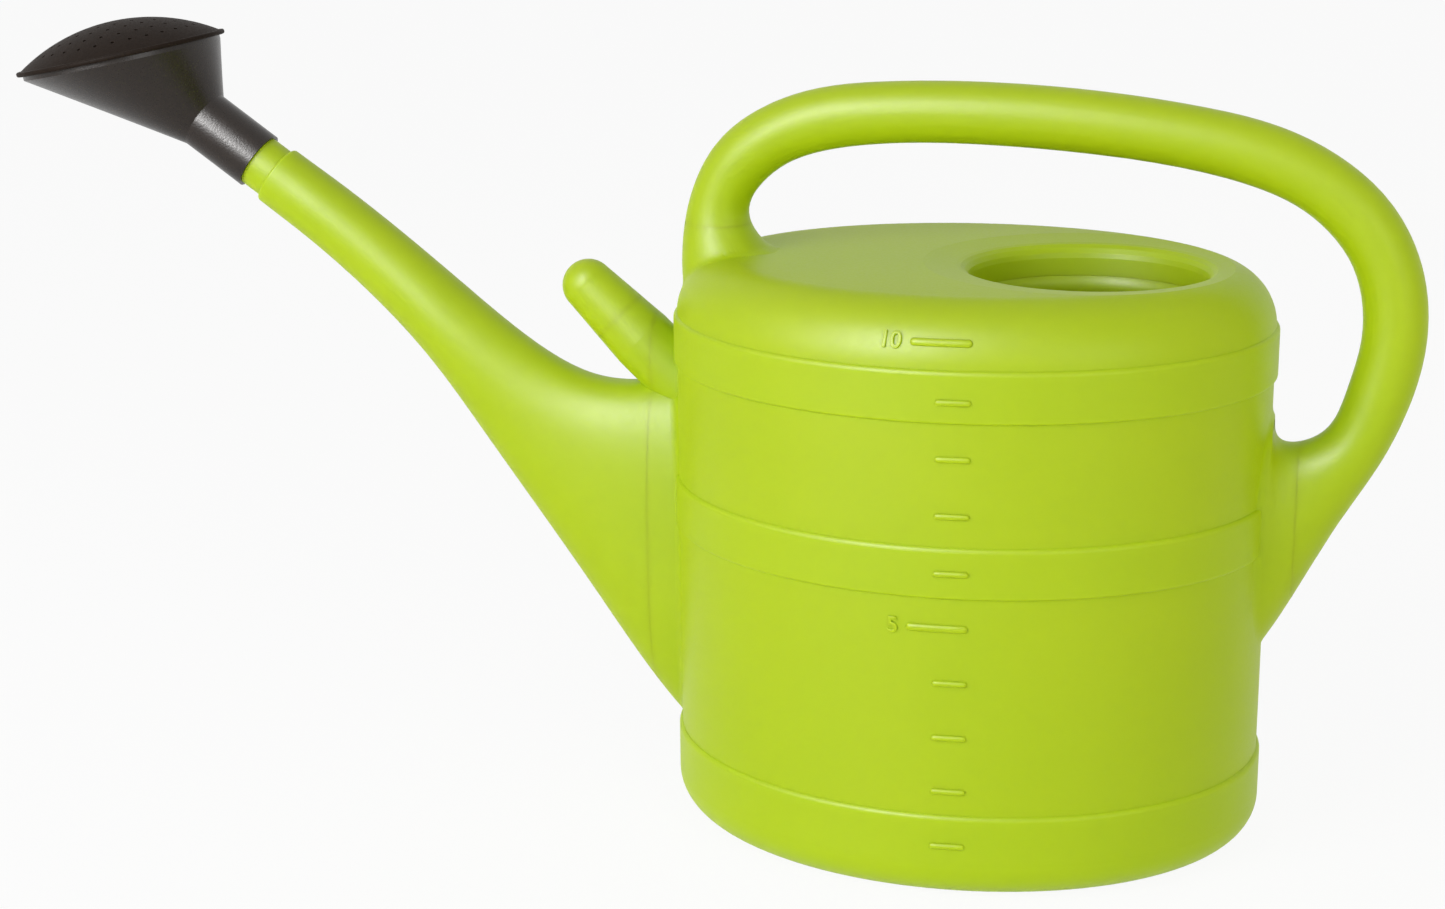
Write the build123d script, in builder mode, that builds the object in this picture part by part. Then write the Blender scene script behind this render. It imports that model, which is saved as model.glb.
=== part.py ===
"""Ten-litre watering can with a pull-off rose, in millimetres.

The tank stands on the ground at the origin, +Z is up, the spout reaches towards -X and the handle
towards +X. The plane y = 0 halves the can.
"""

import os
from math import copysign, cos, degrees, radians, sin

from build123d import *

os.makedirs("parts", exist_ok=True)

# Tank
TANK_LENGTH = 260.0
TANK_WIDTH = 209.0
ROOF_HEIGHT = 254.6
SHOULDER_RADIUS = 25.0
WALL = 1.6

# Raised bands round the tank
BAND_RAISE = 1.5
BAND_HEIGHT = 22.1
BAND_TOP_EDGE = 2.2
BAND_LOW_EDGE = 1.2
FOOT_BAND_TOP = 0.155 * ROOF_HEIGHT
MID_BAND_TOP = 0.615 * ROOF_HEIGHT
TOP_BAND_TOP = 0.904 * ROOF_HEIGHT

# Foot
FOOT_RADIUS = 17.0
FOOT_RING = 14.0
FOOT_RECESS = 3.5

# Filling hole
HOLE_SETBACK = 29.0
HOLE_LENGTH = 102.0
HOLE_WIDTH = 94.0
HOLE_LIP_RADIUS = 6.0
HOLE_DIP = 1.5
HOLE_FLARE = 28.0
COLLAR_DEPTH = 14.0

# Handle
GRIP_DIAMETER = 26.6
HANDLE_RISE = 63.0
HANDLE_REACH = 48.3
HANDLE_DROP = 114.0
HANDLE_ROOT_HEIGHT = 99.0
HANDLE_ROOT_WIDTH = 46.0
HANDLE_SINK = 13.0
HANDLE_FRONT_INSET = 1.0
HANDLE_BLEND = 7.0

# Spout and the neck that takes the rose
SPOUT_REACH = 192.5
SPOUT_RISE = 1.105 * ROOF_HEIGHT
SPOUT_LEAN = 35.5
SPOUT_DIAMETER = 28.2
SPOUT_ROOT_WIDTH = 50.0
SPOUT_ROOT_SINK = 18.0
SPOUT_BLEND = 5.0
NECK_DIAMETER = 24.6
NECK_LENGTH = 36.0
NECK_RING = 4.0
NECK_EDGE = 1.2

# Peg that the rose is parked on
PEG_LEAN = 43.8
PEG_LENGTH = 46.0
PEG_TIP_RADIUS = 11.8
PEG_ROOT_RADIUS = 14.6
PEG_SINK = 40.0
PEG_STUB = 14.0

# Width of the roots that stay on the tank where a limb is parted from it
PARTING = 12.0

# Rose
SOCKET_DIAMETER = 27.4
SOCKET_LENGTH = 31.5
SOCKET_SETBACK = 10.4
SOCKET_CLEARANCE = 0.08
SEAT_GAP = 0.3
ROSE_WALL = 1.8
ROSE_RIM_DIAMETER = 96.2
ROSE_TILT = 11.4
ROSE_REACH = 39.5
ROSE_RISE = 28.8
RIM_STEP = 2.6
RIM_THICKNESS = 2.0
RIM_LAND = 2.4
FACE_RIM_THICKNESS = 2.2
FACE_RIM_WIDTH = 2.1
FACE_RIM_EDGE = 0.9
FACE_DOME_HEIGHT = 16.0
FACE_SPIGOT_DEPTH = 1.8
FACE_SPIGOT_WALL = 1.6
FACE_CLEARANCE = 0.08
JET_DIAMETER = 1.6
JET_PITCH = 7.8
JET_RINGS = 5

HALF_LENGTH = TANK_LENGTH / 2
HALF_WIDTH = TANK_WIDTH / 2
HOLE_CENTRE = HALF_LENGTH - HOLE_SETBACK - HOLE_LENGTH / 2


def limb_plane(x, z, lean):
    """Plane square to a limb that points towards -X and leans up by an angle."""
    normal = (-cos(radians(lean)), 0, sin(radians(lean)))
    return Plane(origin=(x, 0, z), x_dir=(0, 1, 0), z_dir=normal)


def limb_outline(half_width, half_depth, fullness):
    """Smooth closed outline; fullness 2 is an ellipse and more is squarer."""
    power = 2 / fullness
    points = []
    for step in range(24):
        angle = radians(15 * step)
        across = copysign(half_width * abs(cos(angle)) ** power, cos(angle))
        along = copysign(half_depth * abs(sin(angle)) ** power, sin(angle))
        points.append((across, along))
    return points


def limb(stations, inset):
    """Loft through stations of x, z, lean, half width, half depth and fullness."""
    with BuildPart() as form:
        for x, z, lean, half_width, half_depth, fullness in stations:
            with BuildSketch(limb_plane(x, z, lean)):
                with BuildLine():
                    Spline(*limb_outline(half_width - inset, half_depth - inset, fullness), periodic=True)
                make_face()
        loft()
    return form.part


def tank_form(inset, floor):
    """Plain tank with a rounded shoulder, drawn in by an inset, from a floor up."""
    with BuildPart() as form:
        with BuildSketch(Plane.XY.offset(floor)):
            Ellipse(HALF_LENGTH - inset, HALF_WIDTH - inset)
        extrude(amount=ROOF_HEIGHT - inset - floor)
        fillet(form.faces().sort_by(Axis.Z)[-1].edges(), SHOULDER_RADIUS - inset)
    return form.part


def band_form(top, height, lower_edge):
    """Raised band round the tank with rounded edges."""
    with BuildPart() as form:
        with BuildSketch(Plane.XY.offset(top - height)):
            Ellipse(HALF_LENGTH + BAND_RAISE, HALF_WIDTH + BAND_RAISE)
        extrude(amount=height)
        fillet(form.faces().sort_by(Axis.Z)[-1].edges(), BAND_TOP_EDGE)
        fillet(form.faces().sort_by(Axis.Z)[0].edges(), lower_edge)
    return form.part


def hole_form(inset):
    """Filling hole with its rounded lip, on the outer skin or an inset outside it."""
    bend = HOLE_LIP_RADIUS - inset
    rings = [(inset, COLLAR_DEPTH)]
    for angle in (0, 22, 45, 67, 86):
        rings.append((
            HOLE_LIP_RADIUS - bend * cos(radians(angle)),
            HOLE_LIP_RADIUS - bend * sin(radians(angle)),
        ))
    rings.append((HOLE_LIP_RADIUS + HOLE_FLARE, inset - 2 * HOLE_DIP))
    with BuildPart() as form:
        for spread, depth in rings:
            with BuildSketch(hole_plane.offset(-depth)):
                Ellipse(HOLE_LENGTH / 2 + spread, HOLE_WIDTH / 2 + spread)
        loft(ruled=True)
    return form.part


def peg_form(inset):
    """Tapered stub with a round end, drawn in by an inset."""
    tip = PEG_TIP_RADIUS - inset
    root = PEG_ROOT_RADIUS - inset
    tip_centre = PEG_LENGTH - PEG_TIP_RADIUS
    with BuildPart() as form:
        with BuildSketch(Plane(origin=peg_plane.origin, x_dir=peg_plane.x_dir, z_dir=-peg_plane.y_dir)):
            with BuildLine():
                Polyline((0, -PEG_SINK), (root, -PEG_SINK), (root, 0), (tip, tip_centre))
                RadiusArc((tip, tip_centre), (0, tip_centre + tip), -tip)
                Line((0, tip_centre + tip), (0, -PEG_SINK))
            make_face()
        revolve(axis=Axis(peg_plane.origin, peg_plane.z_dir))
    return form.part


# Spout stations from the root inside the tank to the shoulder under the neck
NECK_X = -HALF_LENGTH - SPOUT_REACH
SPOUT_R = SPOUT_DIAMETER / 2
ROOT_W = SPOUT_ROOT_WIDTH / 2
spout_stations = [
    (-HALF_LENGTH + SPOUT_ROOT_SINK, 0.382 * SPOUT_RISE, 0, 1.08 * ROOT_W, 0.306 * SPOUT_RISE, 2.8),
    (-HALF_LENGTH - 0.01 * SPOUT_REACH, 0.412 * SPOUT_RISE, 0, ROOT_W, 0.275 * SPOUT_RISE, 2.8),
    (-HALF_LENGTH - 0.163 * SPOUT_REACH, 0.501 * SPOUT_RISE, 10, 0.88 * ROOT_W, 0.185 * SPOUT_RISE, 2.6),
    (-HALF_LENGTH - 0.294 * SPOUT_REACH, 0.576 * SPOUT_RISE, 22, 0.8 * ROOT_W, 0.1225 * SPOUT_RISE, 2.3),
    (-HALF_LENGTH - 0.415 * SPOUT_REACH, 0.653 * SPOUT_RISE, 33, 1.31 * SPOUT_R, 0.088 * SPOUT_RISE, 2.1),
    (-HALF_LENGTH - 0.576 * SPOUT_REACH, 0.765 * SPOUT_RISE, 38, 1.24 * SPOUT_R, 1.26 * SPOUT_R, 2.0),
    (-HALF_LENGTH - 0.694 * SPOUT_REACH, 0.8395 * SPOUT_RISE, 38, 1.12 * SPOUT_R, 1.12 * SPOUT_R, 2.0),
    (-HALF_LENGTH - 0.818 * SPOUT_REACH, 0.9095 * SPOUT_RISE, 36.5, 1.05 * SPOUT_R, 1.05 * SPOUT_R, 2.0),
    (-HALF_LENGTH - 0.91 * SPOUT_REACH, 0.9565 * SPOUT_RISE, 36, 1.02 * SPOUT_R, 1.02 * SPOUT_R, 2.0),
    (NECK_X, SPOUT_RISE, SPOUT_LEAN, SPOUT_R, SPOUT_R, 2.0),
]

# Handle stations from inside the top band over the grip to inside the rear wall
GRIP_R = GRIP_DIAMETER / 2
FRONT = HALF_LENGTH - HANDLE_FRONT_INSET
BACK = HALF_LENGTH + HANDLE_REACH
ROOT_R = HANDLE_ROOT_WIDTH / 2
ROOT_H = HANDLE_ROOT_HEIGHT
handle_stations = [
    (1.9 * GRIP_R - FRONT, ROOF_HEIGHT - 0.25 * HANDLE_RISE, 90, 1.9 * GRIP_R, 1.9 * GRIP_R, 2.0),
    (1.44 * GRIP_R - FRONT, ROOF_HEIGHT + 0.016 * HANDLE_RISE, 91, 1.42 * GRIP_R, 1.46 * GRIP_R, 2.0),
    (-0.871 * HALF_LENGTH, ROOF_HEIGHT + 0.242 * HANDLE_RISE, 97, 1.03 * GRIP_R, 1.06 * GRIP_R, 2.0),
    (-0.796 * HALF_LENGTH, ROOF_HEIGHT + 0.607 * HANDLE_RISE, 127, GRIP_R, GRIP_R, 2.0),
    (-0.648 * HALF_LENGTH, ROOF_HEIGHT + 0.834 * HANDLE_RISE, 155, GRIP_R, GRIP_R, 2.0),
    (-0.299 * HALF_LENGTH, ROOF_HEIGHT + 0.985 * HANDLE_RISE, 175, GRIP_R, GRIP_R, 2.0),
    (0.05 * HALF_LENGTH, ROOF_HEIGHT + 0.995 * HANDLE_RISE, 182, GRIP_R, GRIP_R, 2.0),
    (0.395 * HALF_LENGTH, ROOF_HEIGHT + 0.952 * HANDLE_RISE, 186, GRIP_R, GRIP_R, 2.0),
    (0.73 * HALF_LENGTH, ROOF_HEIGHT + 0.86 * HANDLE_RISE, 191, GRIP_R, GRIP_R, 2.0),
    (0.763 * BACK, ROOF_HEIGHT + 0.668 * HANDLE_RISE, 203, GRIP_R, GRIP_R, 2.0),
    (0.866 * BACK, ROOF_HEIGHT + 0.479 * HANDLE_RISE, 222, GRIP_R, GRIP_R, 2.0),
    (0.947 * BACK, ROOF_HEIGHT + 0.212 * HANDLE_RISE, 239, GRIP_R, GRIP_R, 2.0),
    (0.992 * BACK, ROOF_HEIGHT - 0.066 * HANDLE_DROP, 258, GRIP_R, GRIP_R, 2.0),
    (0.999 * BACK, ROOF_HEIGHT - 0.263 * HANDLE_DROP, 274, GRIP_R, GRIP_R, 2.0),
    (0.972 * BACK, ROOF_HEIGHT - 0.465 * HANDLE_DROP, 287, GRIP_R, GRIP_R, 2.0),
    (0.916 * BACK, ROOF_HEIGHT - 0.671 * HANDLE_DROP, 304, 1.05 * GRIP_R, 1.02 * GRIP_R, 2.0),
    (0.8225 * BACK, ROOF_HEIGHT - 0.829 * HANDLE_DROP, 331, 1.25 * GRIP_R, 0.225 * ROOT_H, 2.1),
    (HALF_LENGTH + 0.02 * HANDLE_REACH, ROOF_HEIGHT - HANDLE_DROP, 360, ROOT_R, ROOT_H / 2, 2.3),
    (HALF_LENGTH - HANDLE_SINK, ROOF_HEIGHT - 1.018 * HANDLE_DROP, 360, 1.09 * ROOT_R, 0.58 * ROOT_H, 2.4),
]

hole_plane = Plane((HOLE_CENTRE, 0, ROOF_HEIGHT - HOLE_DIP))
peg_plane = limb_plane(-HALF_LENGTH - 0.1 * SPOUT_REACH, 0.7533 * SPOUT_RISE, PEG_LEAN)
neck_plane = limb_plane(NECK_X, SPOUT_RISE, SPOUT_LEAN)

# The outer skin of the one hollow moulding, with its corners rounded
with BuildPart() as skin:
    add(tank_form(0, FOOT_RADIUS))
    add(limb(handle_stations, 0))
    fillet(skin.edges(Select.NEW).filter_by(lambda edge: edge.center().X > 0), HANDLE_BLEND)
    add(limb(spout_stations, 0))
    fillet(skin.edges(Select.NEW), SPOUT_BLEND)
    fillet(skin.faces().sort_by(Axis.X)[0].edges(), NECK_EDGE)
    add(peg_form(0))
    add(band_form(FOOT_BAND_TOP, FOOT_BAND_TOP, FOOT_RADIUS))
    add(band_form(MID_BAND_TOP, BAND_HEIGHT, BAND_LOW_EDGE))
    add(band_form(TOP_BAND_TOP, BAND_HEIGHT, BAND_LOW_EDGE))

# The hollow that runs through tank, spout, handle and peg
with BuildPart() as cavity:
    add(tank_form(WALL, FOOT_RECESS + WALL))
    fillet(cavity.faces().sort_by(Axis.Z)[0].edges(), FOOT_RADIUS - WALL)
    add(hole_form(WALL), mode=Mode.SUBTRACT)
    add(limb(spout_stations, WALL))
    add(limb(handle_stations, WALL))
    add(peg_form(WALL))

with BuildPart() as moulding:
    add(skin.part)
    add(hole_form(0), mode=Mode.SUBTRACT)
    with BuildSketch():
        Ellipse(HALF_LENGTH - FOOT_RADIUS - FOOT_RING, HALF_WIDTH - FOOT_RADIUS - FOOT_RING)
    extrude(amount=FOOT_RECESS, mode=Mode.SUBTRACT)
    add(cavity.part, mode=Mode.SUBTRACT)

# Spaces that part the limbs from the tank
with BuildPart() as peg_space:
    with BuildSketch(peg_plane.offset(PEG_STUB)):
        Circle(PEG_ROOT_RADIUS)
    extrude(amount=PEG_LENGTH)

with BuildPart() as spout_space:
    with BuildSketch(Plane.YZ.offset(-HALF_LENGTH - PARTING)):
        Rectangle(TANK_WIDTH, 4 * SPOUT_RISE)
    extrude(amount=-2 * SPOUT_REACH)
    add(peg_space.part, mode=Mode.SUBTRACT)

with BuildPart() as handle_space:
    with BuildSketch(Plane.YZ.offset(HALF_LENGTH + PARTING)):
        Rectangle(TANK_WIDTH, 4 * ROOF_HEIGHT)
    extrude(amount=2 * HANDLE_REACH)
    with BuildSketch(Plane((HANDLE_REACH, 0, ROOF_HEIGHT + PARTING))):
        Rectangle(TANK_LENGTH + 2 * HANDLE_REACH + PARTING, TANK_WIDTH)
    extrude(amount=2 * HANDLE_RISE)

with BuildPart() as tank:
    add(moulding.part)
    add(spout_space.part, mode=Mode.SUBTRACT)
    add(peg_space.part, mode=Mode.SUBTRACT)
    add(handle_space.part, mode=Mode.SUBTRACT)
tank.part.label = "tank"
export_step(tank.part, "parts/tank.step")

with BuildPart() as spout:
    add(moulding.part)
    add(spout_space.part, mode=Mode.INTERSECT)
    with BuildSketch(neck_plane.offset(-NECK_RING)):
        Circle(SPOUT_R - WALL / 2)
    extrude(amount=NECK_RING)
    with BuildSketch(neck_plane):
        Circle(NECK_DIAMETER / 2)
    extrude(amount=NECK_LENGTH)
    with BuildSketch(neck_plane.offset(-NECK_RING - WALL)):
        Circle(NECK_DIAMETER / 2 - WALL)
    extrude(amount=NECK_LENGTH + NECK_RING + 2 * WALL, mode=Mode.SUBTRACT)
spout.part.label = "spout"
export_step(spout.part, "parts/spout.step")

with BuildPart() as handle:
    add(moulding.part)
    add(handle_space.part, mode=Mode.INTERSECT)
handle.part.label = "handle"
export_step(handle.part, "parts/handle.step")

with BuildPart() as rose_peg:
    add(moulding.part)
    add(peg_space.part, mode=Mode.INTERSECT)
rose_peg.part.label = "rose_peg"
export_step(rose_peg.part, "parts/rose_peg.step")

# Rose planes: the socket runs along the neck, the rim faces almost straight up
socket_plane = neck_plane.offset(SOCKET_SETBACK)
funnel_plane = neck_plane.offset(SOCKET_SETBACK + SOCKET_LENGTH)
rim_centre = funnel_plane.origin + Vector(-ROSE_REACH, 0, ROSE_RISE)
rim_plane = Plane(rim_centre, (0, 1, 0), (-sin(radians(ROSE_TILT)), 0, cos(radians(ROSE_TILT))))
SOCKET_BORE_R = NECK_DIAMETER / 2 + SOCKET_CLEARANCE
SEAT_R = NECK_DIAMETER / 2 - WALL
RIM_R = ROSE_RIM_DIAMETER / 2
HOUSING_R = RIM_R - RIM_STEP
MOUTH_R = HOUSING_R - RIM_LAND

with BuildPart() as rose_housing:
    with BuildSketch(funnel_plane):
        Circle(SOCKET_DIAMETER / 2)
    with BuildSketch(rim_plane.offset(-RIM_THICKNESS)):
        Circle(HOUSING_R)
    loft(ruled=True)
    with BuildSketch(socket_plane):
        Circle(SOCKET_DIAMETER / 2)
    extrude(amount=SOCKET_LENGTH)
    with BuildSketch(rim_plane):
        Circle(HOUSING_R)
    extrude(amount=-RIM_THICKNESS)
    with BuildSketch(funnel_plane):
        Circle(SEAT_R)
    with BuildSketch(rim_plane.offset(-RIM_THICKNESS)):
        Circle(MOUTH_R)
    loft(ruled=True, mode=Mode.SUBTRACT)
    with BuildSketch(rim_plane):
        Circle(MOUTH_R)
    extrude(amount=-RIM_THICKNESS, mode=Mode.SUBTRACT)
    with BuildSketch(socket_plane):
        Circle(SEAT_R)
    extrude(amount=SOCKET_LENGTH, mode=Mode.SUBTRACT)
    with BuildSketch(socket_plane):
        Circle(SOCKET_BORE_R)
    extrude(amount=NECK_LENGTH + SEAT_GAP - SOCKET_SETBACK, mode=Mode.SUBTRACT)
rose_housing.part.label = "rose_housing"
export_step(rose_housing.part, "parts/rose_housing.step")

# Rose face: rim, spigot and a dome of one thickness, turned about the rim's axis
DOME_R = RIM_R - FACE_RIM_WIDTH
DOME_RISE = FACE_DOME_HEIGHT - FACE_RIM_THICKNESS
DOME_SPHERE = (DOME_R**2 + DOME_RISE**2) / (2 * DOME_RISE)
DOME_CENTRE = FACE_DOME_HEIGHT - DOME_SPHERE
SPIGOT_R = MOUTH_R - FACE_CLEARANCE
SPIGOT_BORE_R = SPIGOT_R - FACE_SPIGOT_WALL
DOME_BORE = DOME_SPHERE - ROSE_WALL
DOME_FOOT = DOME_CENTRE + (DOME_BORE**2 - SPIGOT_BORE_R**2) ** 0.5
face_section = Plane(rim_centre, rim_plane.x_dir, -rim_plane.y_dir)
dome_plane = rim_plane.offset(DOME_CENTRE)

with BuildPart() as rose_face:
    with BuildSketch(face_section) as face_cut:
        with BuildLine():
            Polyline((SPIGOT_R, 0), (RIM_R, 0), (RIM_R, FACE_RIM_THICKNESS), (DOME_R, FACE_RIM_THICKNESS))
            RadiusArc((DOME_R, FACE_RIM_THICKNESS), (0, FACE_DOME_HEIGHT), -DOME_SPHERE)
            Line((0, FACE_DOME_HEIGHT), (0, FACE_DOME_HEIGHT - ROSE_WALL))
            RadiusArc((0, FACE_DOME_HEIGHT - ROSE_WALL), (SPIGOT_BORE_R, DOME_FOOT), DOME_BORE)
            Polyline(
                (SPIGOT_BORE_R, DOME_FOOT),
                (SPIGOT_BORE_R, -FACE_SPIGOT_DEPTH),
                (SPIGOT_R, -FACE_SPIGOT_DEPTH),
                (SPIGOT_R, 0),
            )
        make_face()
        fillet(face_cut.vertices().group_by(Axis.X)[-1], FACE_RIM_EDGE)
    revolve(axis=Axis(rim_centre, rim_plane.z_dir))
    for ring in range(JET_RINGS + 1):
        for jet in range(max(1, 6 * ring)):
            splay = degrees(ring * JET_PITCH / DOME_SPHERE)
            turn = 360 / max(1, 6 * ring) * jet
            with Locations(dome_plane.location * Rotation(0, 0, turn) * Rotation(0, splay, 0)):
                Cylinder(
                    JET_DIAMETER / 2,
                    2 * DOME_SPHERE,
                    align=(Align.CENTER, Align.CENTER, Align.MIN),
                    mode=Mode.SUBTRACT,
                )
rose_face.part.label = "rose_face"
export_step(rose_face.part, "parts/rose_face.step")
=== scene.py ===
from math import cos, radians, sin, sqrt

import bmesh
import bpy
from bpy.props import FloatProperty, FloatVectorProperty, IntProperty, PointerProperty
from mathutils import Matrix, Vector


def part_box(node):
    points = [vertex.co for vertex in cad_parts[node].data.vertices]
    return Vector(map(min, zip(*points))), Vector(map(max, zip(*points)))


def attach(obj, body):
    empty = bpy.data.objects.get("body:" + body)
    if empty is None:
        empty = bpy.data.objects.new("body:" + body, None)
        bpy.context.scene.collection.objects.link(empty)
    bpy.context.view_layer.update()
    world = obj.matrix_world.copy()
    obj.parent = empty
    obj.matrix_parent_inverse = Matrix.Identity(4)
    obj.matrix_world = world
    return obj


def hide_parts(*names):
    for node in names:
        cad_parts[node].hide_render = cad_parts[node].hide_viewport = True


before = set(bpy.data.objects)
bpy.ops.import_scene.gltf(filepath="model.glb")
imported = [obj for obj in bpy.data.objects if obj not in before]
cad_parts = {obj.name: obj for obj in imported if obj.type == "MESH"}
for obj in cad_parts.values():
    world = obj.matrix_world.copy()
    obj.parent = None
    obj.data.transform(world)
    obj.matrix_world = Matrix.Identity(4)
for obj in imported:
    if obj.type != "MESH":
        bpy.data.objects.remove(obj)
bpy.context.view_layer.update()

bl_info = {
    "name": "Lime watering can",
    "version": (1, 0, 0),
    "blender": (4, 5, 0),
    "location": "View3D > Sidebar > Watering can",
    "description": "Finishes, litre scale and studio for a ten-litre watering can",
    "category": "Object",
}

TANK_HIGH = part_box("tank")[1]

# The tank's wall is an upright oval. Its bands stand proud of it, and the limbs leave short roots on it.
BAND_PROUD = 0.0015
ROOT_STUB = 0.012
WALL_HALF_LENGTH = TANK_HIGH.x - ROOT_STUB
WALL_HALF_WIDTH = TANK_HIGH.y - BAND_PROUD
ROOF = TANK_HIGH.z - ROOT_STUB
SHOULDER = 0.025
BANDS = ((0.0, 0.0395), (0.1345, 0.1566), (0.2081, 0.2302))

# Lengths that a litre bar is cut into so that it can bend round the tank
BAR_CUTS = 6
# Length and width of the bar at every fifth litre, and of the bars between
NUMBERED_EVERY = 5
LONG_BAR = (0.0256, 0.0034)
SHORT_BAR = (0.0146, 0.0027)
# Numerals: gap to their bar, height as a share of the bar's, and how deep they sit in the wall
NUMERAL_GAP = 0.0035
NUMERAL_RISE = 0.6
NUMERAL_SINK = 0.0006

CAN_NODES = ("tank", "spout", "handle", "rose_peg")

# Least and greatest roughness of the rose's two mouldings
HOUSING_ROUGHNESS = (0.26, 0.36)
FACE_ROUGHNESS = (0.5, 0.65)

# The filling hole, the foot of its collar and the skirt under it
HOLE_CENTRE = 0.05
HOLE_HALF_LENGTH = 0.0511
HOLE_HALF_WIDTH = 0.0471
COLLAR_FOOT = 0.2391
SKIRT_OVERLAP = 0.002
SKIRT_WALL = 0.0013
SKIRT_SIDES = 96

# Where the handle's front leg runs into the shoulder, and how that corner is softened
LEG_FOOT_LOW = (-0.135, -0.03, 0.232)
LEG_FOOT_HIGH = (-0.08, 0.03, 0.256)
CORNER_FOLD = radians(15)
SKIN_SPACING = 0.0012
SPLIT_ROUNDS = 7
SMOOTH_ROUNDS = 9
# Shares of the reach that are smoothed in turn, so that the rounding fades out towards its end
SMOOTH_SHARES = (1.0, 0.85, 0.7, 0.5)
# Vertices closer than this are one
MERGE_GAP = 1e-6

# Studio: half the floor's side, the camera's sensor in millimetres, and the point that the lamps face
FLOOR_REACH = 9
SENSOR_WIDTH = 36
LAMP_TARGET = (-0.1, 0, 0.15)
# Place, width and height of each lamp
LAMPS = {
    "key": ((-1.2, -1.5, 0.85), 1.1, 1.1),
    "streak": ((-0.66, -1.48, 1.25), 0.5, 1.3),
    "fill": ((1.2, -1.4, 0.7), 1.0, 1.0),
}


def linear(code):
    """Linear colour of an sRGB hex code."""
    channels = []
    for start in (0, 2, 4):
        share = int(code[start:start + 2], 16) / 255
        channels.append(share / 12.92 if share <= 0.04045 else ((share + 0.055) / 1.055) ** 2.4)
    return (*channels, 1.0)


def per_mm(size):
    """Texture scale whose features are about this many millimetres across."""
    return 1000 / size


def add_node(tree, kind, inputs=None, **settings):
    """Adds a shader node with its settings, and sets or links its inputs."""
    made = tree.nodes.new(kind)
    for name, value in settings.items():
        setattr(made, name, value)
    for socket, value in (inputs or {}).items():
        if isinstance(value, bpy.types.NodeSocket):
            tree.links.new(value, made.inputs[socket])
        else:
            made.inputs[socket].default_value = value
    return made


def new_material(name):
    """Empty node material and its output node."""
    material = bpy.data.materials.new(name)
    material.use_nodes = True
    material.node_tree.nodes.clear()
    output = add_node(material.node_tree, "ShaderNodeOutputMaterial")
    return material, material.node_tree, output


def can_polyethylene(settings):
    """Blow-moulded high-density polyethylene, dyed lime green through the wall."""
    # A waxy satin: broad soft highlights over a faint etched grain, a slow waviness from the blown wall,
    # dye that is a little fuller in some places, and daylight that seeps through the thin wall.
    material, tree, output = new_material("blow_moulded_polyethylene")
    place = add_node(tree, "ShaderNodeTexCoord").outputs["Object"]
    cloud = add_node(
        tree, "ShaderNodeTexNoise", {"Vector": place, "Scale": per_mm(70), "Detail": 2.0, "Roughness": 0.5}
    )
    dye = add_node(
        tree,
        "ShaderNodeMix",
        {"Factor": cloud.outputs["Fac"], "A": settings.can_colour, "B": settings.can_deep_colour},
        data_type="RGBA",
    )
    # Grain of about 0.5 mm, drawn at 1.1 mm so that it shows
    grain = add_node(
        tree, "ShaderNodeTexNoise", {"Vector": place, "Scale": per_mm(1.1), "Detail": 3.0, "Roughness": 0.6}
    )
    gloss = add_node(
        tree,
        "ShaderNodeMapRange",
        {"Value": grain.outputs["Fac"], "From Min": 0.3, "From Max": 0.7, "To Min": 0.42, "To Max": 0.5},
    )
    wave = add_node(
        tree, "ShaderNodeTexNoise", {"Vector": place, "Scale": per_mm(26), "Detail": 1.0, "Roughness": 0.4}
    )
    swell = add_node(
        tree, "ShaderNodeBump", {"Height": wave.outputs["Fac"], "Strength": 0.12, "Distance": 0.0008}
    )
    skin = add_node(
        tree,
        "ShaderNodeBump",
        {
            "Height": grain.outputs["Fac"],
            "Strength": 0.10,
            "Distance": 0.0002,
            "Normal": swell.outputs["Normal"],
        },
    )
    surface = add_node(
        tree,
        "ShaderNodeBsdfPrincipled",
        {
            "Base Color": dye.outputs[2],
            "Roughness": gloss.outputs["Result"],
            "IOR": 1.54,
            "Specular IOR Level": 0.24,
            "Subsurface Weight": 0.5,
            "Subsurface Radius": (1.0, 1.0, 0.2),
            "Subsurface Scale": settings.seep,
            "Normal": skin.outputs["Normal"],
        },
    )
    tree.links.new(surface.outputs["BSDF"], output.inputs["Surface"])
    return material


def rose_polypropylene(name, settings, sheen, smooth, rough):
    """Injection-moulded polypropylene, nearly black, with more or less sheen and grain."""
    # Satin with a fine spark-eroded grain that breaks its highlights up.
    material, tree, output = new_material(name)
    place = add_node(tree, "ShaderNodeTexCoord").outputs["Object"]
    cloud = add_node(
        tree, "ShaderNodeTexNoise", {"Vector": place, "Scale": per_mm(3), "Detail": 4.0, "Roughness": 0.7}
    )
    dye = add_node(
        tree,
        "ShaderNodeMix",
        {"Factor": cloud.outputs["Fac"], "A": settings.rose_colour, "B": settings.rose_pale_colour},
        data_type="RGBA",
    )
    # Grain of about 0.3 mm, drawn at 0.8 mm so that it shows
    grain = add_node(
        tree, "ShaderNodeTexNoise", {"Vector": place, "Scale": per_mm(0.8), "Detail": 2.0, "Roughness": 0.6}
    )
    gloss = add_node(
        tree,
        "ShaderNodeMapRange",
        {"Value": grain.outputs["Fac"], "From Min": 0.3, "From Max": 0.7, "To Min": smooth, "To Max": rough},
    )
    skin = add_node(
        tree, "ShaderNodeBump", {"Height": grain.outputs["Fac"], "Strength": 0.35, "Distance": 0.0002}
    )
    surface = add_node(
        tree,
        "ShaderNodeBsdfPrincipled",
        {
            "Base Color": dye.outputs[2],
            "Roughness": gloss.outputs["Result"],
            "IOR": 1.49,
            "Specular IOR Level": sheen,
            "Normal": skin.outputs["Normal"],
        },
    )
    tree.links.new(surface.outputs["BSDF"], output.inputs["Surface"])
    return material


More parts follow.
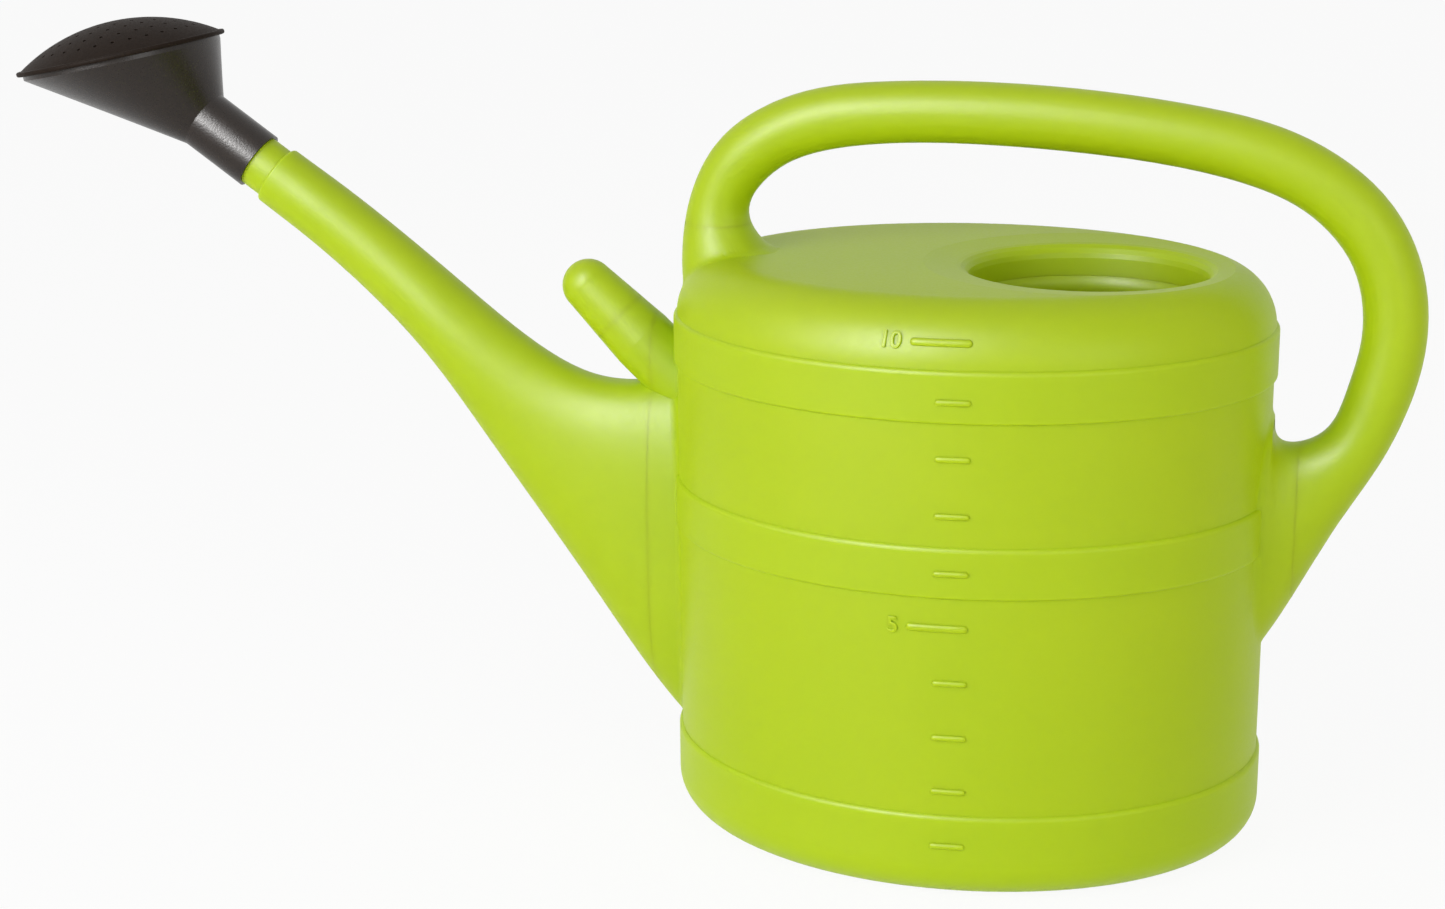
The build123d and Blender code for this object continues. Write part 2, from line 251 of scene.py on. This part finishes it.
def seen(tree):
    """Socket that is 1 for what the camera sees, straight or in a reflection or through something clear."""
    path = add_node(tree, "ShaderNodeLightPath")
    mirrored = add_node(
        tree,
        "ShaderNodeMath",
        {0: path.outputs["Is Glossy Ray"], 1: path.outputs["Is Transmission Ray"]},
        operation="MAXIMUM",
    )
    both = add_node(
        tree,
        "ShaderNodeMath",
        {0: path.outputs["Is Camera Ray"], 1: mirrored.outputs["Value"]},
        operation="MAXIMUM",
    )
    return both.outputs["Value"]


def dress(piece, material):
    """Gives a whole piece one material."""
    piece.data.materials.clear()
    piece.data.materials.append(material)


def new_piece(bm, name, body, material):
    """Makes a finished piece of a bmesh, riding on a body."""
    mesh = bpy.data.meshes.new(name)
    bm.normal_update()
    bm.to_mesh(mesh)
    bm.free()
    for polygon in mesh.polygons:
        polygon.use_smooth = True
    piece = bpy.data.objects.new(name, mesh)
    bpy.context.scene.collection.objects.link(piece)
    dress(piece, material)
    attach(piece, body)
    return piece


def wall_at(run):
    """Offset from the oval, height and lean of the tank's skin, a run up from the ground along it."""
    straight = ROOF - SHOULDER
    proud = 0.0
    for low, high in BANDS:
        if low <= run <= high:
            proud = BAND_PROUD
    if run <= straight:
        return proud, run, 0.0
    lean = (run - straight) / SHOULDER
    return SHOULDER * (cos(lean) - 1), straight + SHOULDER * sin(lean), lean


def lay_on_tank(bm, turn, run):
    """Bends a flat shape, drawn about its own origin and raised along Z, onto the tank's skin."""
    speed = sqrt((WALL_HALF_LENGTH * sin(turn)) ** 2 + (WALL_HALF_WIDTH * cos(turn)) ** 2)
    for vertex in bm.verts:
        offset, height, lean = wall_at(run + vertex.co.y)
        angle = turn + vertex.co.x / speed
        outward = Vector((cos(angle) / WALL_HALF_LENGTH, sin(angle) / WALL_HALF_WIDTH, 0)).normalized()
        outward = outward * cos(lean) + Vector((0, 0, sin(lean)))
        base = Vector((
            (WALL_HALF_LENGTH + offset) * cos(angle),
            (WALL_HALF_WIDTH + offset) * sin(angle),
            height,
        ))
        vertex.co = base + outward * vertex.co.z
    return bm


def litre_bar(length, width, height):
    """Raised bar like half a rod with round ends, its right end at the origin."""
    bm = bmesh.new()
    bmesh.ops.create_uvsphere(bm, u_segments=20, v_segments=9, radius=0.5)
    bmesh.ops.rotate(bm, matrix=Matrix.Rotation(radians(90), 3, "Y"), verts=bm.verts)
    bmesh.ops.scale(bm, vec=(width, width, 2 * height), verts=bm.verts)
    run = length - width
    left_end = [vertex for vertex in bm.verts if vertex.co.x < 0]
    bmesh.ops.translate(bm, vec=(-run, 0, 0), verts=left_end)
    for cut in range(1, BAR_CUTS):
        bmesh.ops.bisect_plane(
            bm,
            geom=bm.verts[:] + bm.edges[:] + bm.faces[:],
            plane_co=(-run * cut / BAR_CUTS, 0, 0),
            plane_no=(1, 0, 0),
        )
    bmesh.ops.translate(bm, vec=(-width / 2, 0, 0), verts=bm.verts)
    return bm


def numeral(text, size, height, sunk):
    """Raised numeral with soft edges, drawn about its own middle."""
    curve = bpy.data.curves.new("numeral", "FONT")
    curve.body = text
    curve.size = size
    curve.align_x = "CENTER"
    curve.align_y = "CENTER"
    curve.extrude = (height + sunk) / 2
    curve.bevel_depth = height / 3
    curve.bevel_resolution = 2
    holder = bpy.data.objects.new("numeral", curve)
    bm = bmesh.new()
    bm.from_mesh(holder.to_mesh())
    bpy.data.objects.remove(holder)
    bpy.data.curves.remove(curve)
    bmesh.ops.remove_doubles(bm, verts=bm.verts, dist=MERGE_GAP)
    bmesh.ops.recalc_face_normals(bm, faces=bm.faces)
    bmesh.ops.translate(bm, vec=(0, 0, (height - sunk) / 2), verts=bm.verts)
    return bm


def collar_skirt(settings):
    """Oval ring that carries the filling hole's collar further down, its top inside the collar's wall."""
    bm = bmesh.new()
    depth = settings.skirt_depth + SKIRT_OVERLAP
    bmesh.ops.create_cone(bm, segments=SKIRT_SIDES, radius1=1, radius2=1, depth=depth, cap_ends=False)
    bmesh.ops.scale(bm, vec=(HOLE_HALF_LENGTH, HOLE_HALF_WIDTH, 1), verts=bm.verts)
    bmesh.ops.solidify(bm, geom=bm.faces[:], thickness=-SKIRT_WALL)
    bmesh.ops.recalc_face_normals(bm, faces=bm.faces)
    middle = COLLAR_FOOT + (SKIRT_OVERLAP - settings.skirt_depth) / 2
    bmesh.ops.translate(bm, vec=(HOLE_CENTRE, 0, middle), verts=bm.verts)
    return bm


def inside_corners(bm, low, high):
    """Edges in a box where the skin folds inwards."""
    found = []
    for edge in bm.edges:
        in_box = all(low[i] < vertex.co[i] < high[i] for vertex in edge.verts for i in range(3))
        if in_box and edge.calc_face_angle_signed(0) < -CORNER_FOLD:
            found.append(edge)
    return found


def walk_from(corners, reach):
    """Vertices within a walk over the skin from the corners, with how far they are."""
    walk = {vertex: 0.0 for edge in corners for vertex in edge.verts}
    front = list(walk)
    while front:
        ahead = []
        for vertex in front:
            for edge in vertex.link_edges:
                other = edge.other_vert(vertex)
                length = walk[vertex] + edge.calc_length()
                if length < walk.get(other, reach):
                    walk[other] = length
                    ahead.append(other)
        front = ahead
    return walk


def softened(mesh, low, high, reach):
    """Skin of a mesh whose inside corners in a box are rounded, and the normals of its face corners."""
    bm = bmesh.new()
    bm.from_mesh(mesh)
    skin = bm.loops.layers.float_vector["skin_normal"]
    bmesh.ops.remove_doubles(bm, verts=bm.verts, dist=MERGE_GAP)
    for _ in range(SPLIT_ROUNDS):
        walk = walk_from(inside_corners(bm, low, high), reach)
        edges = {edge for vertex in walk for edge in vertex.link_edges}
        long_edges = [edge for edge in edges if edge.calc_length() > SKIN_SPACING]
        bmesh.ops.subdivide_edges(bm, edges=long_edges, cuts=1)
        bmesh.ops.poke(bm, faces=[face for face in bm.faces if len(face.verts) > 3])
    walk = walk_from(inside_corners(bm, low, high), reach)
    for share in SMOOTH_SHARES:
        near = [vertex for vertex, length in walk.items() if length < share * reach]
        for _ in range(SMOOTH_ROUNDS):
            bmesh.ops.smooth_vert(
                bm, verts=near, factor=0.5, use_axis_x=True, use_axis_y=True, use_axis_z=True
            )
    bm.normal_update()
    normals = []
    for face in bm.faces:
        for loop in face.loops:
            normals.append(loop.vert.normal.copy() if loop.vert in walk else loop[skin].copy())
    return bm, normals


class CanSettings(bpy.types.PropertyGroup):
    """Colours and sizes of the can's finish."""

    can_colour: FloatVectorProperty(
        name="Can colour", description="Lime green of the can", subtype="COLOR", size=4,
        min=0, max=1, default=linear("B9D10A"),
    )
    can_deep_colour: FloatVectorProperty(
        name="Deep can colour", description="Fuller green that clouds the dye", subtype="COLOR", size=4,
        min=0, max=1, default=linear("B0CC06"),
    )
    rose_colour: FloatVectorProperty(
        name="Rose colour", description="Near-black of the rose", subtype="COLOR", size=4,
        min=0, max=1, default=linear("19120D"),
    )
    rose_pale_colour: FloatVectorProperty(
        name="Pale rose colour", description="Paler black that clouds the rose", subtype="COLOR", size=4,
        min=0, max=1, default=linear("2C221B"),
    )
    housing_sheen: FloatProperty(
        name="Housing sheen", description="Sheen of the rose's housing", default=0.35,
    )
    face_sheen: FloatProperty(
        name="Face sheen", description="Sheen of the rose's grained face", default=0.05,
    )
    scale_turn: FloatProperty(
        name="Scale turn", description="Where the right ends of the litre marks stand round the oval tank",
        subtype="ANGLE", default=radians(-83.0),
    )
    scale_zero: FloatProperty(
        name="Scale zero", description="Height of the scale's zero", unit="LENGTH", default=0.0020,
    )
    litre_step: FloatProperty(
        name="Litre step", description="Height of one litre in the tank", unit="LENGTH", default=0.0239,
    )
    litres: IntProperty(name="Litres", description="Highest mark of the scale", default=10)
    mark_height: FloatProperty(
        name="Mark height", description="How far the marks stand out", unit="LENGTH", default=0.0012,
    )
    numeral_size: FloatProperty(
        name="Numeral size", description="Type size of the numerals", unit="LENGTH", default=0.0096,
    )
    corner_reach: FloatProperty(
        name="Corner reach", description="How far the softened corner at the handle's front leg reaches",
        unit="LENGTH", default=0.008,
    )
    skirt_depth: FloatProperty(
        name="Skirt depth", description="How much further down the filling hole's collar goes",
        unit="LENGTH", default=0.012,
    )
    seep: FloatProperty(
        name="Seep", description="How far light seeps through the wall", unit="LENGTH", default=0.005,
    )


class StudioSettings(bpy.types.PropertyGroup):
    """Camera, lamps and floor."""

    azimuth: FloatProperty(
        name="Azimuth", description="Camera's turn from the front towards the handle", subtype="ANGLE",
        default=radians(14.157),
    )
    elevation: FloatProperty(
        name="Elevation", description="Camera's height angle", subtype="ANGLE", default=radians(15.796),
    )
    roll: FloatProperty(name="Roll", description="Camera's roll", subtype="ANGLE", default=radians(-0.625))
    distance: FloatProperty(
        name="Distance", description="Camera's distance from its target", unit="LENGTH", default=1.14662,
    )
    target: FloatVectorProperty(
        name="Target", description="Point that the camera looks at", subtype="TRANSLATION", size=3,
        default=(-0.112592, 0, 0.159666),
    )
    lens: FloatProperty(name="Lens", description="Focal length in millimetres", default=63.01)
    floor_colour: FloatVectorProperty(
        name="Floor colour", description="Pale floor", subtype="COLOR", size=4,
        min=0, max=1, default=linear("F6F6F4"),
    )
    floor_glow: FloatProperty(
        name="Floor glow", description="Share of plain white in the floor that the camera sees", default=0.92,
    )
    key_power: FloatProperty(name="Key power", description="Watts of the large lamp", default=21.0)
    streak_power: FloatProperty(
        name="Streak power", description="Watts of the lamp for the long highlights", default=90.0,
    )
    fill_power: FloatProperty(
        name="Fill power", description="Watts of the lamp at the handle's side", default=9.0,
    )
    sky: FloatProperty(name="Sky", description="Strength of the even light all round", default=0.36)


class CAN_OT_finish(bpy.types.Operator):
    """Gives the can's moulding its polyethylene"""

    bl_idname = "watering_can.can_finish"
    bl_label = "Finish the can"

    def execute(self, context):
        material = can_polyethylene(context.scene.watering_can)
        for name in CAN_NODES:
            dress(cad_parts[name], material)
        return {"FINISHED"}


class CAN_OT_soft_shoulder(bpy.types.Operator):
    """Rounds the corner between the handle's front leg and the tank"""

    bl_idname = "watering_can.soft_shoulder"
    bl_label = "Soften the shoulder"

    def execute(self, context):
        settings = context.scene.watering_can
        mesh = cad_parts["tank"].data.copy()
        flat = [0.0] * (3 * len(mesh.loops))
        mesh.corner_normals.foreach_get("vector", flat)
        mesh.attributes.new("skin_normal", "FLOAT_VECTOR", "CORNER").data.foreach_set("vector", flat)
        bm, normals = softened(mesh, LEG_FOOT_LOW, LEG_FOOT_HIGH, settings.corner_reach)
        bpy.data.meshes.remove(mesh)
        material = bpy.data.materials["blow_moulded_polyethylene"]
        piece = new_piece(bm, "tank_skin", "can", material)
        piece.data.attributes.remove(piece.data.attributes["skin_normal"])
        piece.data.normals_split_custom_set(normals)
        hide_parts("tank")
        return {"FINISHED"}


class CAN_OT_collar_skirt(bpy.types.Operator):
    """Carries the filling hole's collar further down"""

    bl_idname = "watering_can.collar_skirt"
    bl_label = "Collar skirt"

    def execute(self, context):
        ring = collar_skirt(context.scene.watering_can)
        material = bpy.data.materials["blow_moulded_polyethylene"]
        new_piece(ring, "collar_skirt", "can", material)
        return {"FINISHED"}


class CAN_OT_rose_finish(bpy.types.Operator):
    """Gives the rose its polypropylene"""

    bl_idname = "watering_can.rose_finish"
    bl_label = "Finish the rose"

    def execute(self, context):
        settings = context.scene.watering_can
        smooth = rose_polypropylene(
            "satin_black_polypropylene", settings, settings.housing_sheen, *HOUSING_ROUGHNESS
        )
        grained = rose_polypropylene(
            "grained_black_polypropylene", settings, settings.face_sheen, *FACE_ROUGHNESS
        )
        dress(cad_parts["rose_housing"], smooth)
        dress(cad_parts["rose_face"], grained)
        return {"FINISHED"}


class CAN_OT_litre_scale(bpy.types.Operator):
    """Raises the litre marks on the tank"""

    bl_idname = "watering_can.litre_scale"
    bl_label = "Litre scale"

    def execute(self, context):
        settings = context.scene.watering_can
        material = bpy.data.materials["blow_moulded_polyethylene"]
        for litre in range(1, settings.litres + 1):
            numbered = litre % NUMBERED_EVERY == 0
            length, width = LONG_BAR if numbered else SHORT_BAR
            bar = litre_bar(length, width, settings.mark_height)
            run = settings.scale_zero + settings.litre_step * litre
            lay_on_tank(bar, settings.scale_turn, run)
            new_piece(bar, f"litre_mark_{litre}", "can", material)
            if numbered:
                rise = settings.mark_height * NUMERAL_RISE
                figure = numeral(str(litre), settings.numeral_size, rise, NUMERAL_SINK)
                half = max(vertex.co.x for vertex in figure.verts)
                bmesh.ops.translate(figure, vec=(-length - NUMERAL_GAP - half, 0, 0), verts=figure.verts)
                lay_on_tank(figure, settings.scale_turn, run)
                new_piece(figure, f"litre_figure_{litre}", "can", material)
        return {"FINISHED"}


class CAN_OT_studio(bpy.types.Operator):
    """Sets the camera, the lamps and the pale floor"""

    bl_idname = "watering_can.studio"
    bl_label = "Studio"

    def execute(self, context):
        settings = context.scene.watering_studio
        scene = context.scene
        scene.view_settings.view_transform = "Standard"
        self.place_camera(scene, settings)
        self.lay_floor(scene, settings)
        self.hang_lamps(scene, settings)
        return {"FINISHED"}

    def place_camera(self, scene, settings):
        azimuth, elevation, roll = settings.azimuth, settings.elevation, settings.roll
        back = Vector((sin(azimuth) * cos(elevation), -cos(azimuth) * cos(elevation), sin(elevation)))
        right = Vector((cos(azimuth), sin(azimuth), 0))
        up = back.cross(right)
        tilted_right = cos(roll) * right + sin(roll) * up
        tilted_up = cos(roll) * up - sin(roll) * right
        turn = Matrix((tilted_right, tilted_up, back)).transposed().to_4x4()
        data = bpy.data.cameras.new("camera")
        data.lens = settings.lens
        data.sensor_width = SENSOR_WIDTH
        data.sensor_fit = "HORIZONTAL"
        camera = bpy.data.objects.new("camera", data)
        camera.matrix_world = Matrix.Translation(Vector(settings.target) + settings.distance * back) @ turn
        scene.collection.objects.link(camera)
        scene.camera = camera

    def lay_floor(self, scene, settings):
        material, tree, output = new_material("matt_paper_floor")
        paper = add_node(
            tree,
            "ShaderNodeBsdfPrincipled",
            {"Base Color": settings.floor_colour, "Roughness": 0.9, "Specular IOR Level": 0.1},
        )
        white = add_node(tree, "ShaderNodeEmission", {"Color": (1, 1, 1, 1), "Strength": 1.0})
        share = add_node(
            tree, "ShaderNodeMath", {0: seen(tree), 1: settings.floor_glow}, operation="MULTIPLY"
        )
        ground = add_node(
            tree,
            "ShaderNodeMixShader",
            {"Fac": share.outputs["Value"], 1: paper.outputs["BSDF"], 2: white.outputs["Emission"]},
        )
        tree.links.new(ground.outputs["Shader"], output.inputs["Surface"])
        bm = bmesh.new()
        bmesh.ops.create_grid(bm, x_segments=1, y_segments=1, size=FLOOR_REACH)
        mesh = bpy.data.meshes.new("floor")
        bm.to_mesh(mesh)
        bm.free()
        floor = bpy.data.objects.new("floor", mesh)
        scene.collection.objects.link(floor)
        dress(floor, material)

    def hang_lamps(self, scene, settings):
        world = bpy.data.worlds.new("white_room")
        scene.world = world
        world.use_nodes = True
        tree = world.node_tree
        tree.nodes.clear()
        light = add_node(tree, "ShaderNodeBackground", {"Color": (1, 1, 1, 1), "Strength": settings.sky})
        white = add_node(tree, "ShaderNodeBackground", {"Color": (1, 1, 1, 1), "Strength": 1.0})
        room = add_node(
            tree,
            "ShaderNodeMixShader",
            {"Fac": seen(tree), 1: light.outputs["Background"], 2: white.outputs["Background"]},
        )
        output = add_node(tree, "ShaderNodeOutputWorld")
        tree.links.new(room.outputs["Shader"], output.inputs["Surface"])
        powers = {"key": settings.key_power, "streak": settings.streak_power, "fill": settings.fill_power}
        for name, (place, width, height) in LAMPS.items():
            data = bpy.data.lights.new(name, "AREA")
            data.shape = "RECTANGLE"
            data.size = width
            data.size_y = height
            data.energy = powers[name]
            lamp = bpy.data.objects.new(name, data)
            lamp.location = place
            lamp.rotation_euler = (Vector(LAMP_TARGET) - Vector(place)).to_track_quat("-Z", "Y").to_euler()
            # The streak lamp only draws the long soft highlights of the plastic
            lamp.visible_diffuse = name != "streak"
            scene.collection.objects.link(lamp)


class CAN_PT_panel(bpy.types.Panel):
    """Sidebar panel with the can's settings and steps"""

    bl_idname = "CAN_PT_panel"
    bl_label = "Watering can"
    bl_space_type = "VIEW_3D"
    bl_region_type = "UI"
    bl_category = "Watering can"

    def draw(self, context):
        for settings in (context.scene.watering_can, context.scene.watering_studio):
            for name in settings.__annotations__:
                self.layout.prop(settings, name)
        for step in STEPS:
            self.layout.operator(step.bl_idname)


STEPS = (
    CAN_OT_finish,
    CAN_OT_soft_shoulder,
    CAN_OT_collar_skirt,
    CAN_OT_rose_finish,
    CAN_OT_litre_scale,
    CAN_OT_studio,
)
CLASSES = (CanSettings, StudioSettings, *STEPS, CAN_PT_panel)


def register():
    for item in CLASSES:
        bpy.utils.register_class(item)
    bpy.types.Scene.watering_can = PointerProperty(type=CanSettings)
    bpy.types.Scene.watering_studio = PointerProperty(type=StudioSettings)


def unregister():
    del bpy.types.Scene.watering_studio
    del bpy.types.Scene.watering_can
    for item in reversed(CLASSES):
        bpy.utils.unregister_class(item)


def main():
    register()
    bpy.ops.watering_can.can_finish()
    bpy.ops.watering_can.soft_shoulder()
    bpy.ops.watering_can.collar_skirt()
    bpy.ops.watering_can.rose_finish()
    bpy.ops.watering_can.litre_scale()
    bpy.ops.watering_can.studio()


if __name__ == "__main__":
    main()
